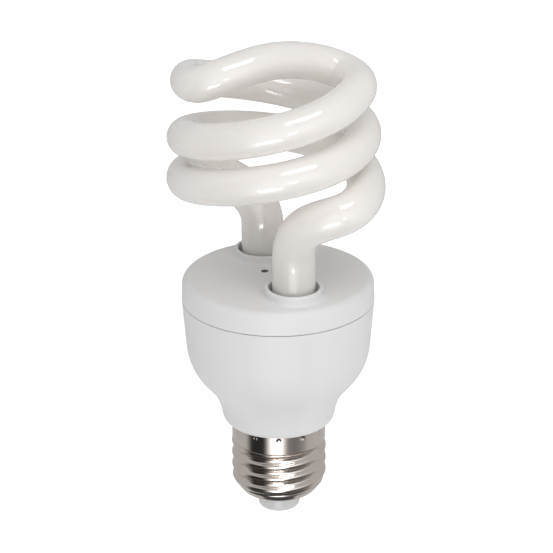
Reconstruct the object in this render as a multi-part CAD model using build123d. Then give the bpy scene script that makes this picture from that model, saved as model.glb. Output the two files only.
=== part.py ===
"""Spiral compact fluorescent lamp with a screw cap, all sizes in millimetres.

The lamp stands upright on its centre contact: the origin is the middle of the
contact's flat face and +Z runs up the lamp's axis. The front leg of the tube is
on the -Y side. Each function below returns one physical piece of the lamp.
"""
from build123d import *
import os
from math import ceil, cos, pi, radians, sin, sqrt

# Screw cap
PITCH = 3.629
CREST_R = 13.15
KNUCKLE_R = 1.025
SHELL_WALL = 0.3
BAND_R = 13.0
SHELL_LIP_Z = 4.7
SHELL_LIP_R = 6.5
CONE_MID_R = 10.43
CONE_MID_Z = 5.86
CONE_MID_ROUND = 3.0
CONE_TOP_R = 12.73
CONE_TOP_Z = 9.16
CONE_TOP_ROUND = 2.1
THREAD_FULL_Z = 12.3
THREAD_TOP_Z = 21.3
FIRST_CREST_Z = 9.5
THREAD_BELOW_LIP = 0.5
THREAD_STEPS = 10
THREAD_STEPS_INSIDE = 6
RUNOUT_BOTTOM_Z = 19.9
RUNOUT_TOP_Z = 21.7
PUNCH_COUNT = 12
PUNCH_R = 0.8
PUNCH_DEPTH = 0.22
PUNCH_BELOW_NECK = 1.3
CONTACT_R = 4.6
CONTACT_T = 0.6
CONTACT_HOLE_R = 0.9
INSULATOR_R = 5.8
INSULATOR_LOW_Z = 0.05
INSULATOR_EDGE_R = 1.1
INSULATOR_HOLE_R = 1.1
INSULATOR_TOP_Z = 7.4

# Lamp housing, the lower shell
NECK_Z = 27.4
NECK_R = 15.15
NECK_EDGE_R = 2.2
WAIST_R = 16.8
WAIST_Z = 35.37
WAIST_FILLET = 16.6
BOWL_R = 24.76
BOWL_Z = 44.37
BOWL_FILLET = 17.4
SEAM_R = 26.25
SEAM_Z = 63.6
WALL = 1.7
SPIGOT_CLEARANCE = 0.1
SPIGOT_WALL = 1.5
SPIGOT_END_Z = 14.5
THREAD_CLEARANCE = 0.15
LEDGE_COUNT = 4
LEDGE_W = 1.8
LEDGE_H = 7.0
LEDGE_REACH = 2.2

# Tube cover, the upper shell
COVER_TOP_Z = 70.1
COVER_TOP_R = 26.0
COVER_EDGE_R = 2.0
COVER_INNER_R = 1.0
COVER_T = 1.8
SEAM_GAP = 0.25
SEAM_STEP = 0.7
SKIRT_CLEARANCE = 0.15
SKIRT_T = 1.3
SKIRT_DEPTH = 3.4
BARB_COUNT = 6
BARB_ANGLE = 16.0
BARB_H = 0.9
BARB_REACH = 0.45
BARB_BELOW_SEAM = 1.7
BARB_PLAY = 0.15
TAB_COUNT = 4
TAB_W = 3.0
TAB_T = 1.0
TAB_TURN = 20.0
COLLAR_H = 2.5
COLLAR_BORE_R = 6.84
COLLAR_WALL = 0.89
COLLAR_ROOT_FILLET = 0.8
VENT_R = 1.05
VENT_X = -3.6
VENT_Y = 2.7

# Spiral tube
LEG_X = 4.2
LEG_Y = -13.85
LEG_R = 5.8
LEG_END_Z = 60.2
LEG_END_FILLET = 2.6
LEG_TOP_Z = 80.0
COIL_TUBE_R = 4.95
COIL_R = 23.5
COIL_PITCH = 24.0
COIL_START_Z = 98.2
COIL_START_ANGLE = 22.0
COIL_END_ANGLE = 334.0
STRETCH = 1.65
STRETCH_FROM = 200.0
STRETCH_UNIT = 100.0
COIL_STATIONS = 20
ELBOW_LOW = (7.9, -16.85, 89.4)
ELBOW_HIGH = (17.3, -19.7, 93.9)
BRIDGE_BEND = (19.5, 4.2, 125.5)
BRIDGE_TOP_Z = 130.1
LEAN_PIVOT_Z = 112.0
LEAN_BACK = 3.4
LEAN_LEFT = 0.9
SHIFT_X = -0.9
SHIFT_Y = 0.9
CEMENT_SINK = 0.4
CEMENT_FLANGE = 0.45
CEMENT_H = 3.2

# Ballast board
BOARD_Z = 54.0
BOARD_T = 1.6
BOARD_CLEARANCE = 0.35
PIN_CLEARANCE = 0.1
PIN_R = 0.3
PIN_STUB = 1.1
SOLDER_R = 0.85
SOLDER_H = 0.8
POST_HALF = 0.4
POST_H = 3.4
WIRE_R = 0.25
LEAD_R = 0.65
LEAD_CORE_R = 0.3

# Components, each hung from the board: places in plan and sizes
CAP_CAN_R, CAP_CAN_H, CAP_PITCH = 5.0, 18.0, 5.0
CAP_PLACE = (0.0, 1.0)
STANDOFF = 0.4
CHOKE_PLACE = (-12.8, 0.5)
CHOKE_W, CHOKE_D, CHOKE_H = 13.0, 6.0, 12.0
CHOKE_LIMB = 2.6
CHOKE_YOKE = 1.6
CHOKE_CHEEK = 0.8
CHOKE_PIN_Y = 5.0
TOROID_PLACE = (12.6, 1.4)
TOROID_R, TOROID_BORE_R, TOROID_H = 4.5, 2.4, 3.6
TOROID_WIRE_R = 0.3
TOROID_TURNS = 9
TOROID_TURN_STEP = 36.0
DRUM_PLACE = (14.2, -8.2)
DRUM_R, DRUM_H, DRUM_CHEEK, DRUM_CORE_R = 3.5, 8.0, 1.2, 1.6
TRANSISTOR_PLACES = ((7.4, 15.6), (-5.0, 17.0))
TRANSISTOR_W, TRANSISTOR_T, TRANSISTOR_H = 8.0, 3.2, 10.0
TRANSISTOR_PITCH, TRANSISTOR_TAIL = 2.29, 1.0
RECTIFIER_X = (-12.0, -8.5, -5.0, -1.5)
RECTIFIER_Y = -14.5
RECTIFIER_R, RECTIFIER_L = 1.3, 4.6
TRIGGER_PLACE = (4.4, -8.4)
TRIGGER_R, TRIGGER_L = 0.9, 3.8
RESISTOR_PLACES = ((13.2, 11.2, 90.0), (16.4, 10.6, 90.0), (4.8, -12.6, 0.0), (4.8, -16.8, 0.0))
RESISTOR_R, RESISTOR_L = 1.15, 5.6
AXIAL_PITCH = 7.62
FILM_W, FILM_T, FILM_H, FILM_PITCH = 10.0, 4.0, 8.0, 7.5
FILM_PLACES = ((4.2, 10.2), (-6.9, 9.9))
FUSE_R, FUSE_L = 1.9, 9.0
FUSE_TOP_Z = 27.0
LIVE_BEND_Z = 36.0
LIVE_LOW_Z = 31.0
LIVE_HOLE = (-6.6, -7.6)
NEUTRAL_HOLE = (7.2, -3.4)
NEUTRAL_BEND_Z = 32.0
NEUTRAL_NECK_Z = 26.0
POST_X = (11.4, 12.4)
ELECTRODE_OFFSET = 1.2


def revolved(points):
    """Solid of revolution from (radius, height) corners, each with an optional rounding."""
    corners = [point[:2] for point in points]
    rounds = [point[2] if len(point) > 2 else 0.0 for point in points]
    with BuildPart() as part:
        with BuildSketch(Plane.XZ):
            with BuildLine():
                FilletPolyline(*corners, radius=rounds, close=True)
            make_face()
        revolve(axis=Axis.Z)
    return part.part


def ring(r_in, r_out, z0, z1):
    """Plain ring about the axis between two heights."""
    return revolved([(r_in, z0), (r_out, z0), (r_out, z1), (r_in, z1)])


def post(x, y, r, z0, z1):
    """Upright round rod at a place in plan."""
    return Pos(x, y, z0) * extrude(Circle(r), z1 - z0)


def rod(points, r, bend):
    """Round wire along straight runs joined by arcs of one bend radius."""
    path = FilletPolyline(*points, radius=bend) if len(points) > 2 else Polyline(*points)
    start = Plane(origin=points[0], z_dir=Vector(*points[1]) - Vector(*points[0]))
    return sweep(start * Circle(r), path=path)


def block(x, y, w, d, z0, z1):
    """Upright rectangular block centred on a place in plan."""
    return Pos(x, y, (z0 + z1) / 2) * Box(w, d, z1 - z0)


def around(count, shape, first=0.0):
    """Copies of a shape spaced evenly about the axis."""
    return [shape.rotate(Axis.Z, first + 360.0 * i / count) for i in range(count)]


def joined(shapes):
    """All shapes fused to one."""
    first, *rest = shapes
    return first.fuse(*rest) if rest else first


# Screw cap pieces

def thread_radius(height):
    """Radius of the rolled knuckle wave at a height above a crest."""
    arc_gap = sqrt((2 * KNUCKLE_R) ** 2 - (PITCH / 2) ** 2)
    crest_centre = CREST_R - KNUCKLE_R
    offset = abs((height + PITCH / 2) % PITCH - PITCH / 2)
    if offset <= PITCH / 4:
        return crest_centre + sqrt(KNUCKLE_R ** 2 - offset ** 2)
    return crest_centre + arc_gap - sqrt(KNUCKLE_R ** 2 - (PITCH / 2 - offset) ** 2)


ROOT_R = thread_radius(PITCH / 2)


def thread_section(inset, z, stations=24):
    """Cross-section of the right-handed thread at a height, moved inwards by an inset."""
    points = []
    for i in range(stations):
        turn = i / stations
        r = thread_radius(z - FIRST_CREST_Z - PITCH * (turn - 0.5)) - inset
        points.append(Vector(r * cos(2 * pi * turn), r * sin(2 * pi * turn), z))
    return Wire([Edge.make_spline(points, periodic=True)])


def thread_rod(inset, z1, steps_a_turn):
    """Threaded rod: cross-sections stacked in thin steps from below the shell's lip."""
    z0 = SHELL_LIP_Z - THREAD_BELOW_LIP
    steps = ceil((z1 - z0) / PITCH * steps_a_turn)
    sections = [thread_section(inset, z0 + (z1 - z0) * i / steps) for i in range(steps + 1)]
    return Solid.make_loft(sections, ruled=True)


def cap_form(inset, z1, steps_a_turn):
    """The cap's full form, moved inwards by an inset: cone, thread and plain band."""
    lip_z = SHELL_LIP_Z + 0.85 * inset
    envelope = revolved([
        (0, lip_z), (SHELL_LIP_R - 0.7 * inset, lip_z),
        (CONE_MID_R - 0.6 * inset, CONE_MID_Z + 0.85 * inset, CONE_MID_ROUND - inset),
        (CONE_TOP_R - 0.8 * inset, CONE_TOP_Z + 0.6 * inset, CONE_TOP_ROUND - inset),
        (CREST_R + 1 - inset, THREAD_FULL_Z + inset), (CREST_R + 1 - inset, NECK_Z), (0, NECK_Z)])
    threaded = (envelope & thread_rod(inset, THREAD_TOP_Z, steps_a_turn)).solids()[0]
    band = revolved([
        (0, RUNOUT_BOTTOM_Z - 0.4), (ROOT_R - 0.35 - inset, RUNOUT_BOTTOM_Z),
        (BAND_R - inset, RUNOUT_TOP_Z), (BAND_R - inset, z1), (0, z1)])
    return threaded.fuse(band.solids()[0])


def punch_marks(r, depth):
    """Round centre-punch dents about the band, which lock the cap to the housing."""
    height = NECK_Z - PUNCH_BELOW_NECK
    ball_r = (PUNCH_R ** 2 + depth ** 2) / (2 * depth)
    dent = Pos(0, -(r + ball_r - depth), height) * Sphere(ball_r)
    return around(PUNCH_COUNT, dent)


def screw_shell():
    """Thin nickel-plated cap shell with its rolled thread."""
    opening = post(0, 0, SHELL_LIP_R - 0.7 * SHELL_WALL, SHELL_LIP_Z - 1, SHELL_LIP_Z + SHELL_WALL)
    inside = cap_form(SHELL_WALL, NECK_Z + 1, THREAD_STEPS_INSIDE)
    shell = cap_form(0, NECK_Z, THREAD_STEPS).cut(inside, opening)
    return shell.cut(*punch_marks(BAND_R, PUNCH_DEPTH))


def cap_insulator():
    """Glass button that fills the shell's lower end and carries the centre contact."""
    lip = Vector(SHELL_LIP_R - 0.7 * SHELL_WALL, SHELL_LIP_Z + 0.85 * SHELL_WALL)
    cone = Vector(CONE_MID_R - 0.6 * SHELL_WALL, CONE_MID_Z + 0.85 * SHELL_WALL)
    seat = lip + (cone - lip) * 0.7
    return revolved([
        (INSULATOR_HOLE_R, CONTACT_T), (CONTACT_R, CONTACT_T), (CONTACT_R, INSULATOR_LOW_Z),
        (INSULATOR_R, INSULATOR_LOW_Z, INSULATOR_EDGE_R), (INSULATOR_R, SHELL_LIP_Z), (lip.X, SHELL_LIP_Z), (lip.X, lip.Y),
        (seat.X, seat.Y), (seat.X, INSULATOR_TOP_Z, 0.5), (INSULATOR_HOLE_R + 1.2, INSULATOR_TOP_Z, 0.5),
        (INSULATOR_HOLE_R, INSULATOR_TOP_Z - 0.8)])


def centre_contact():
    """Flat brass centre contact with a hole for the live lead."""
    return ring(CONTACT_HOLE_R, CONTACT_R, 0, CONTACT_T)


def contact_solder():
    """Solder that fills the contact's hole round the lead, flush with its flat face."""
    return ring(LEAD_CORE_R, CONTACT_HOLE_R, 0, CONTACT_T)


# Plastic shells

def housing_inner_radius(z):
    """Inner radius of the lower shell's straight side at a height above the bowl."""
    return BOWL_R + (SEAM_R - BOWL_R) * (z - BOWL_Z) / (SEAM_Z - BOWL_Z) - WALL


def lamp_housing():
    """Lower shell: bowl, neck, spigot that goes into the cap, groove and board ledges."""
    spigot_r = BAND_R - SHELL_WALL - SPIGOT_CLEARANCE
    nose_r = ROOT_R - SHELL_WALL - THREAD_CLEARANCE
    step_low = RUNOUT_TOP_Z - 0.6
    step_high = RUNOUT_TOP_Z + 0.6
    body = revolved([
        (spigot_r, NECK_Z), (NECK_R, NECK_Z, NECK_EDGE_R), (WAIST_R, WAIST_Z, WAIST_FILLET),
        (BOWL_R, BOWL_Z, BOWL_FILLET), (SEAM_R, SEAM_Z), (SEAM_R - WALL, SEAM_Z),
        (BOWL_R - WALL, BOWL_Z, BOWL_FILLET - WALL), (WAIST_R - WALL, WAIST_Z, WAIST_FILLET / 2),
        (NECK_R - WALL, NECK_Z + WALL, 0.8), (spigot_r - SPIGOT_WALL, NECK_Z + WALL, 0.8),
        (spigot_r - SPIGOT_WALL, step_high, 0.5), (nose_r - SPIGOT_WALL, step_low, 0.5),
        (nose_r - SPIGOT_WALL, SPIGOT_END_Z), (nose_r, SPIGOT_END_Z),
        (nose_r, step_low), (spigot_r, step_high)])
    groove_z = SEAM_Z - BARB_BELOW_SEAM - BARB_H - BARB_PLAY
    groove_r = housing_inner_radius(groove_z)
    groove = ring(groove_r - 2, groove_r + BARB_REACH + BARB_PLAY, groove_z, groove_z + BARB_H + 2 * BARB_PLAY)
    hollow_r = housing_inner_radius(BOARD_Z)
    reach = LEDGE_REACH + 0.3
    ledge = block(0, -(hollow_r + 0.3 - reach / 2), LEDGE_W, reach, BOARD_Z - LEDGE_H, BOARD_Z)
    slope = Pos(0, -(hollow_r - LEDGE_REACH), BOARD_Z - LEDGE_H) * Rot(X=20) * Box(
        2 * LEDGE_W, 1.4 * LEDGE_REACH, 1.6 * LEDGE_H)
    return joined([body - groove] + around(LEDGE_COUNT, ledge - slope))


def collar(x, y):
    """Raised ring about one leg hole, with a filleted root, solid until it is bored."""
    outer_r = COLLAR_BORE_R + COLLAR_WALL
    rim_z = COVER_TOP_Z + COLLAR_H
    return Pos(x, y, 0) * revolved([
        (0, COVER_TOP_Z - 0.5), (outer_r + 2.2, COVER_TOP_Z - 0.5), (outer_r + 2.2, COVER_TOP_Z),
        (outer_r, COVER_TOP_Z, COLLAR_ROOT_FILLET), (outer_r, rim_z, 0.3), (0, rim_z)])


def tube_cover():
    """Upper shell: flat top, rounded rim, two collars, vent hole, skirt, barbs and tabs."""
    skirt_r = housing_inner_radius(SEAM_Z - SKIRT_DEPTH) - SKIRT_CLEARANCE
    skirt_end = SEAM_Z - SKIRT_DEPTH
    step_r = SEAM_R - WALL + SEAM_STEP
    under = COVER_TOP_Z - COVER_T
    cover = revolved([
        (0, under), (skirt_r - SKIRT_T, under, COVER_INNER_R), (skirt_r - SKIRT_T, skirt_end),
        (skirt_r, skirt_end), (skirt_r, SEAM_Z), (step_r, SEAM_Z), (step_r, SEAM_Z + SEAM_GAP),
        (SEAM_R, SEAM_Z + SEAM_GAP), (COVER_TOP_R, COVER_TOP_Z, COVER_EDGE_R), (0, COVER_TOP_Z)])
    legs = [(LEG_X, LEG_Y), (-LEG_X, -LEG_Y)]
    cover = joined([cover] + [collar(x, y) for x, y in legs])
    holes = [post(x, y, COLLAR_BORE_R, SEAM_Z, COVER_TOP_Z + COLLAR_H + 1) for x, y in legs]
    cover = cover.cut(*holes, post(VENT_X, VENT_Y, VENT_R, SEAM_Z, COVER_TOP_Z + 1))
    barb_z = SEAM_Z - BARB_BELOW_SEAM - BARB_H / 2
    barb_face = Plane.XZ * Pos(skirt_r + BARB_REACH / 2 - 0.2, barb_z) * Rectangle(BARB_REACH + 0.4, BARB_H)
    barb = revolve(barb_face, Axis.Z, BARB_ANGLE)
    tab = block(0, -(skirt_r - SKIRT_T + 0.2), TAB_W, TAB_T, BOARD_Z + BOARD_T, skirt_end + 0.5)
    return joined([cover] + around(BARB_COUNT, barb) + around(TAB_COUNT, tab, TAB_TURN))


# Spiral tube

def half_turn(v):
    """The matching point on the tube's other arm."""
    return Vector(-v.X, -v.Y, v.Z)


def same(v):
    """The point itself, for the first arm."""
    return v


def leaned(v):
    """The point as the wound coil really sits on its legs, slightly off upright."""
    pivot = Vector(0, 0, LEAN_PIVOT_Z)
    turned = (v - pivot).rotate(Axis.X, -LEAN_BACK).rotate(Axis.Y, -LEAN_LEFT)
    return turned + pivot + Vector(SHIFT_X, SHIFT_Y, 0)


def coil_point(angle):
    """Centre line of one arm's turn: a helix whose pitch opens towards the top."""
    a = radians(angle)
    opened = STRETCH * max(0.0, (angle - STRETCH_FROM) / STRETCH_UNIT) ** 2
    rise = COIL_START_Z + COIL_PITCH * angle / 360 + opened
    return Vector(COIL_R * cos(a), COIL_R * sin(a), rise)


def coil_direction(angle):
    """Direction of the upright coil's centre line."""
    return (coil_point(angle + 0.5) - coil_point(angle - 0.5)).normalized()


def smooth(points, start, end):
    """Smooth curve through points with given end directions."""
    lengths = [0.0]
    for a, b in zip(points[:-1], points[1:]):
        lengths.append(lengths[-1] + (b - a).length)
    return Edge.make_spline(points, tangents=[start, end], parameters=lengths, scale=False)


def turn_curve(arm):
    """One arm's turn from the elbow to the top bridge."""
    step = (COIL_END_ANGLE - COIL_START_ANGLE) / COIL_STATIONS
    angles = [COIL_START_ANGLE + i * step for i in range(COIL_STATIONS + 1)]
    points = [leaned(arm(coil_point(a))) for a in angles]
    ends = [leaned(arm(coil_point(a) + coil_direction(a))) - leaned(arm(coil_point(a)))
            for a in (angles[0], angles[-1])]
    return smooth(points, *ends)


def elbow_curve(arm):
    """Bend from an upright leg out to the start of its arm's turn."""
    start = coil_point(COIL_START_ANGLE)
    ahead = start + coil_direction(COIL_START_ANGLE)
    points = [arm(Vector(LEG_X, LEG_Y, LEG_TOP_Z)), leaned(arm(Vector(*ELBOW_LOW))),
              leaned(arm(Vector(*ELBOW_HIGH))), leaned(arm(start))]
    return smooth(points, Vector(0, 0, 1), leaned(arm(ahead)) - leaned(arm(start)))


def bridge_curve():
    """S-shaped bridge across the top, which joins the two arms."""
    end = coil_point(COIL_END_ANGLE)
    way = coil_direction(COIL_END_ANGLE)
    bend = Vector(*BRIDGE_BEND)
    points = [end, bend, Vector(0, 0, BRIDGE_TOP_Z), half_turn(bend), half_turn(end)]
    way_down = Vector(way.X, way.Y, -way.Z)
    start = leaned(end + way) - leaned(end)
    finish = leaned(half_turn(end) + way_down) - leaned(half_turn(end))
    return smooth([leaned(p) for p in points], start, finish)


def spiral_tube():
    """Sealed glass discharge tube: two legs, two elbows, two turns and the bridge."""
    first = turn_curve(same)
    path = Wire([first, bridge_curve(), turn_curve(half_turn)])
    start = Plane(origin=first.position_at(0), z_dir=first.tangent_at(0))
    pieces = [sweep(start * Circle(COIL_TUBE_R), path=path)]
    for arm in (same, half_turn):
        curve = elbow_curve(arm)
        foot = Plane(origin=curve.position_at(0), z_dir=(0, 0, 1)) * Circle(LEG_R)
        top = Plane(origin=curve.position_at(1), z_dir=curve.tangent_at(1)) * Circle(COIL_TUBE_R)
        pieces.append(sweep([foot, top], path=curve, multisection=True))
        place = arm(Vector(LEG_X, LEG_Y, LEG_END_Z))
        leg = Pos(place) * extrude(Circle(LEG_R), LEG_TOP_Z - LEG_END_Z)
        pieces.append(fillet(leg.edges().sort_by(Axis.Z)[:1], LEG_END_FILLET))
    return joined(pieces)


def tube_cement(sign):
    """Ring of cement that fixes a leg in its collar, with a flange under the cover."""
    under = COVER_TOP_Z - COVER_T
    cement = revolved([
        (LEG_R, COVER_TOP_Z - CEMENT_SINK), (COLLAR_BORE_R, COVER_TOP_Z - CEMENT_SINK),
        (COLLAR_BORE_R, under), (COLLAR_BORE_R + CEMENT_FLANGE, under),
        (LEG_R + 0.5, under - CEMENT_H), (LEG_R, under - CEMENT_H)])
    return Pos(sign * LEG_X, sign * LEG_Y, 0) * cement


# Ballast pieces

PIN_TOP_Z = BOARD_Z + BOARD_T + PIN_STUB


def pins(places, z0):
    """Component leads that rise from a body through the board."""
    return [post(x, y, PIN_R, z0, PIN_TOP_Z) for x, y in places]


def along(place, pitch, angle=0.0):
    """Two lead places either side of a component's middle."""
    dx, dy = pitch / 2 * cos(radians(angle)), pitch / 2 * sin(radians(angle))
    return [(place[0] - dx, place[1] - dy), (place[0] + dx, place[1] + dy)]


def axial(place, angle, r, length):
    """Axial component lying under the board on its two bent leads."""
    z = BOARD_Z - STANDOFF - r
    a, b = along(place, AXIAL_PITCH, angle)
    body = Pos(place[0], place[1], z) * Rot(0, 0, angle) * Rot(0, 90, 0) * Cylinder(r, length)
    lead = rod([(a[0], a[1], PIN_TOP_Z), (a[0], a[1], z), (b[0], b[1], z), (b[0], b[1], PIN_TOP_Z)], PIN_R, 0.8)
    return body.fuse(lead)


def filter_capacitor():
    """Electrolytic can that hangs down into the neck."""
    x, y = CAP_PLACE
    top = BOARD_Z - STANDOFF
    can = Pos(x, y, top - CAP_CAN_H) * extrude(Circle(CAP_CAN_R), CAP_CAN_H)
    can = fillet(can.edges(), 0.6)
    neck = Pos(x, y, top - 2.4) * (Cylinder(CAP_CAN_R + 1, 0.8) - Cylinder(CAP_CAN_R - 0.35, 0.8))
    return joined([can - neck] + pins(along(CAP_PLACE, CAP_PITCH), top - 1))


def choke_centre_z():
    """Height of the resonant choke's middle."""
    return BOARD_Z - STANDOFF - CHOKE_CHEEK - CHOKE_H / 2 - 0.6


def choke_half(side):
    """One ferrite E-core half with three limbs, which meets its twin at mid height."""
    x, y = CHOKE_PLACE
    z = choke_centre_z()
    half = block(x, y, CHOKE_D, CHOKE_W, 0, CHOKE_H / 2)
    window = CHOKE_W / 2 - CHOKE_LIMB
    reach = CHOKE_H / 2 - CHOKE_YOKE
    for s in (-1, 1):
        half = half - block(x, y + s * (CHOKE_LIMB / 2 + window / 2), CHOKE_D + 1, window, -0.1, reach)
    return half.moved(Pos(0, 0, z)) if side > 0 else half.rotate(Axis.X, 180).moved(Pos(0, 2 * y, z))


def choke_bobbin():
    """Plastic bobbin on the middle limb, with cheeks and a pin rail at the board."""
    x, y = CHOKE_PLACE
    z = choke_centre_z()
    window_h = CHOKE_H - 2 * CHOKE_YOKE
    hole = block(x, y, CHOKE_D + 0.2, CHOKE_LIMB + 0.2, z - window_h, z + window_h)
    half = window_h / 2 - 0.05
    sleeve = block(x, y, CHOKE_D + 1.4, CHOKE_LIMB + 1.4, z - half, z + half)
    low = block(x, y, CHOKE_D + 4.4, CHOKE_LIMB + 4.6, z - half, z - half + CHOKE_CHEEK)
    high = block(x, y, CHOKE_D + 4.4, CHOKE_LIMB + 4.6, z + half - CHOKE_CHEEK, z + half)
    side = CHOKE_D / 2 + 1.5
    rails = [block(x + s * side, y, 1.4, CHOKE_W, z + half - CHOKE_CHEEK, BOARD_Z) for s in (-1, 1)]
    places = [(x + s * side, y + t * CHOKE_PIN_Y) for s in (-1, 1) for t in (-1, 1)]
    body = joined([sleeve, low, high] + rails + pins(places, BOARD_Z - 2))
    return body - hole


def choke_winding():
    """Copper winding between the bobbin's cheeks."""
    x, y = CHOKE_PLACE
    z = choke_centre_z()
    half = CHOKE_H / 2 - CHOKE_YOKE - 0.05 - CHOKE_CHEEK
    outer = block(x, y, CHOKE_D + 3.6, CHOKE_LIMB + 3.8, z - half, z + half)
    outer = fillet(outer.edges().filter_by(Axis.Z), 1.0)
    return outer - block(x, y, CHOKE_D + 1.4, CHOKE_LIMB + 1.4, z - half, z + half)


def feedback_core():
    """Small ferrite ring of the feedback transformer, flat below the board."""
    x, y = TOROID_PLACE
    top = BOARD_Z - 2 * TOROID_WIRE_R
    return Pos(x, y, top - TOROID_H) * (
        extrude(Circle(TOROID_R), TOROID_H) - extrude(Circle(TOROID_BORE_R), TOROID_H))


def feedback_windings():
    """The ring's three windings, as wire turns hooped tightly round its section."""
    x, y = TOROID_PLACE
    t = 2 * TOROID_WIRE_R
    middle = (TOROID_R + TOROID_BORE_R) / 2
    turn = block(middle, 0, TOROID_R - TOROID_BORE_R + 2 * t, t, BOARD_Z - TOROID_H - 2 * t, BOARD_Z)
    core = feedback_core()
    return [Pos(x, y, 0) * turn.rotate(Axis.Z, i * TOROID_TURN_STEP) - core for i in range(TOROID_TURNS)]


def drum_core():
    """Ferrite drum of the interference choke, with its two leads."""
    x, y = DRUM_PLACE
    top = BOARD_Z - STANDOFF
    drum = Pos(x, y, top - DRUM_H) * extrude(Circle(DRUM_R), DRUM_H)
    slot = Pos(x, y, top - DRUM_H + DRUM_CHEEK) * (
        extrude(Circle(DRUM_R + 1), DRUM_H - 2 * DRUM_CHEEK) - extrude(Circle(DRUM_CORE_R), DRUM_H - 2 * DRUM_CHEEK))
    return joined([drum - slot] + pins(along(DRUM_PLACE, 5.0), top - 0.8))


def drum_winding():
    """Copper winding on the drum."""
    x, y = DRUM_PLACE
    z0 = BOARD_Z - STANDOFF - DRUM_H + DRUM_CHEEK
    return Pos(x, y, 0) * ring(DRUM_CORE_R, DRUM_R - 0.4, z0, z0 + DRUM_H - 2 * DRUM_CHEEK)


def transistor(index):
    """Flat power transistor with a fixing hole and three leads."""
    x, y = TRANSISTOR_PLACES[index]
    top = BOARD_Z - TRANSISTOR_TAIL
    body = block(x, y, TRANSISTOR_W, TRANSISTOR_T, top - TRANSISTOR_H, top)
    hole = Pos(x, y, top - TRANSISTOR_H + 3.6) * Rot(90, 0, 0) * Cylinder(1.6, TRANSISTOR_T + 1)
    leads = pins([(x + s * TRANSISTOR_PITCH, y) for s in (-1, 0, 1)], top - 1)
    return joined([body - hole] + leads)


def rectifier_diodes():
    """Four rectifier diodes, side by side."""
    return [axial((x, RECTIFIER_Y), 90.0, RECTIFIER_R, RECTIFIER_L) for x in RECTIFIER_X]


def trigger_diode():
    """Small glass trigger diode."""
    return axial(TRIGGER_PLACE, 0.0, TRIGGER_R, TRIGGER_L)


def bias_resistors():
    """Four small resistors."""
    return [axial((x, y), a, RESISTOR_R, RESISTOR_L) for x, y, a in RESISTOR_PLACES]


def film_capacitor(index):
    """Dipped film capacitor with rounded edges."""
    x, y = FILM_PLACES[index]
    top = BOARD_Z - STANDOFF
    body = block(x, y, FILM_W, FILM_T, top - FILM_H, top)
    body = fillet(body.edges(), 1.0)
    return joined([body] + pins(along(FILM_PLACES[index], FILM_PITCH), top - 1.5))


def post_places():
    """The four filament posts, two beside each leg, level in y with their wires."""
    side = [(POST_X[0], LEG_Y - ELECTRODE_OFFSET), (POST_X[1], LEG_Y + ELECTRODE_OFFSET)]
    return [(s * x, s * y) for s in (1, -1) for x, y in side]


def filament_posts():
    """Four square posts on the board that the filament wires are fixed to."""
    return [block(x, y, 2 * POST_HALF, 2 * POST_HALF, BOARD_Z - 1, BOARD_Z + BOARD_T + POST_H)
            for x, y in post_places()]


def filament_leads():
    """Four bare wires from the sealed leg ends to the posts."""
    wires = []
    run_z = BOARD_Z + BOARD_T + POST_H - 0.9
    for x, y in post_places():
        s = 1 if x > 0 else -1
        start = s * (LEG_X + ELECTRODE_OFFSET)
        wires.append(rod([(start, y, LEG_END_Z), (start, y, run_z), (x - s * POST_HALF, y, run_z)], WIRE_R, 0.7))
    return wires


def fusible_resistor():
    """Sleeved fusible resistor in line with the live lead, its lower wire in the contact."""
    body = fillet(post(0, 0, FUSE_R, FUSE_TOP_Z - FUSE_L, FUSE_TOP_Z).edges().filter_by(GeomType.CIRCLE), 0.8)
    return body.fuse(post(0, 0, LEAD_CORE_R, 0, FUSE_TOP_Z + 1))


def live_lead():
    """Insulated lead from the board down to the fusible resistor."""
    x, y = LIVE_HOLE
    return rod([(x, y, PIN_TOP_Z), (x, y, LIVE_BEND_Z), (0, 0, LIVE_LOW_Z), (0, 0, FUSE_TOP_Z + 1)], LEAD_R, 2.0)


def neutral_lead():
    """Insulated lead from the board down the spigot and out to the cap shell."""
    x, y = NEUTRAL_HOLE
    nose = ROOT_R - SHELL_WALL - THREAD_CLEARANCE - SPIGOT_WALL - LEAD_R - 0.55
    end_z = FIRST_CREST_Z + PITCH
    reach = sqrt((ROOT_R - SHELL_WALL) ** 2 - LEAD_R ** 2)
    return rod([(x, y, PIN_TOP_Z), (x, y, NEUTRAL_BEND_Z), (nose, 0, NEUTRAL_NECK_Z), (nose, 0, end_z),
                (reach, 0, end_z)], LEAD_R, 1.2)


def pin_places():
    """Every place where a round component lead passes through the board."""
    places = along(CAP_PLACE, CAP_PITCH) + along(DRUM_PLACE, 5.0) + along(TRIGGER_PLACE, AXIAL_PITCH)
    side = CHOKE_D / 2 + 1.5
    places += [(CHOKE_PLACE[0] + s * side, CHOKE_PLACE[1] + t * CHOKE_PIN_Y) for s in (-1, 1) for t in (-1, 1)]
    for x in RECTIFIER_X:
        places += along((x, RECTIFIER_Y), AXIAL_PITCH, 90.0)
    for x, y, angle in RESISTOR_PLACES:
        places += along((x, y), AXIAL_PITCH, angle)
    for place in FILM_PLACES:
        places += along(place, FILM_PITCH)
    for x, y in TRANSISTOR_PLACES:
        places += [(x + s * TRANSISTOR_PITCH, y) for s in (-1, 0, 1)]
    return places


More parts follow.
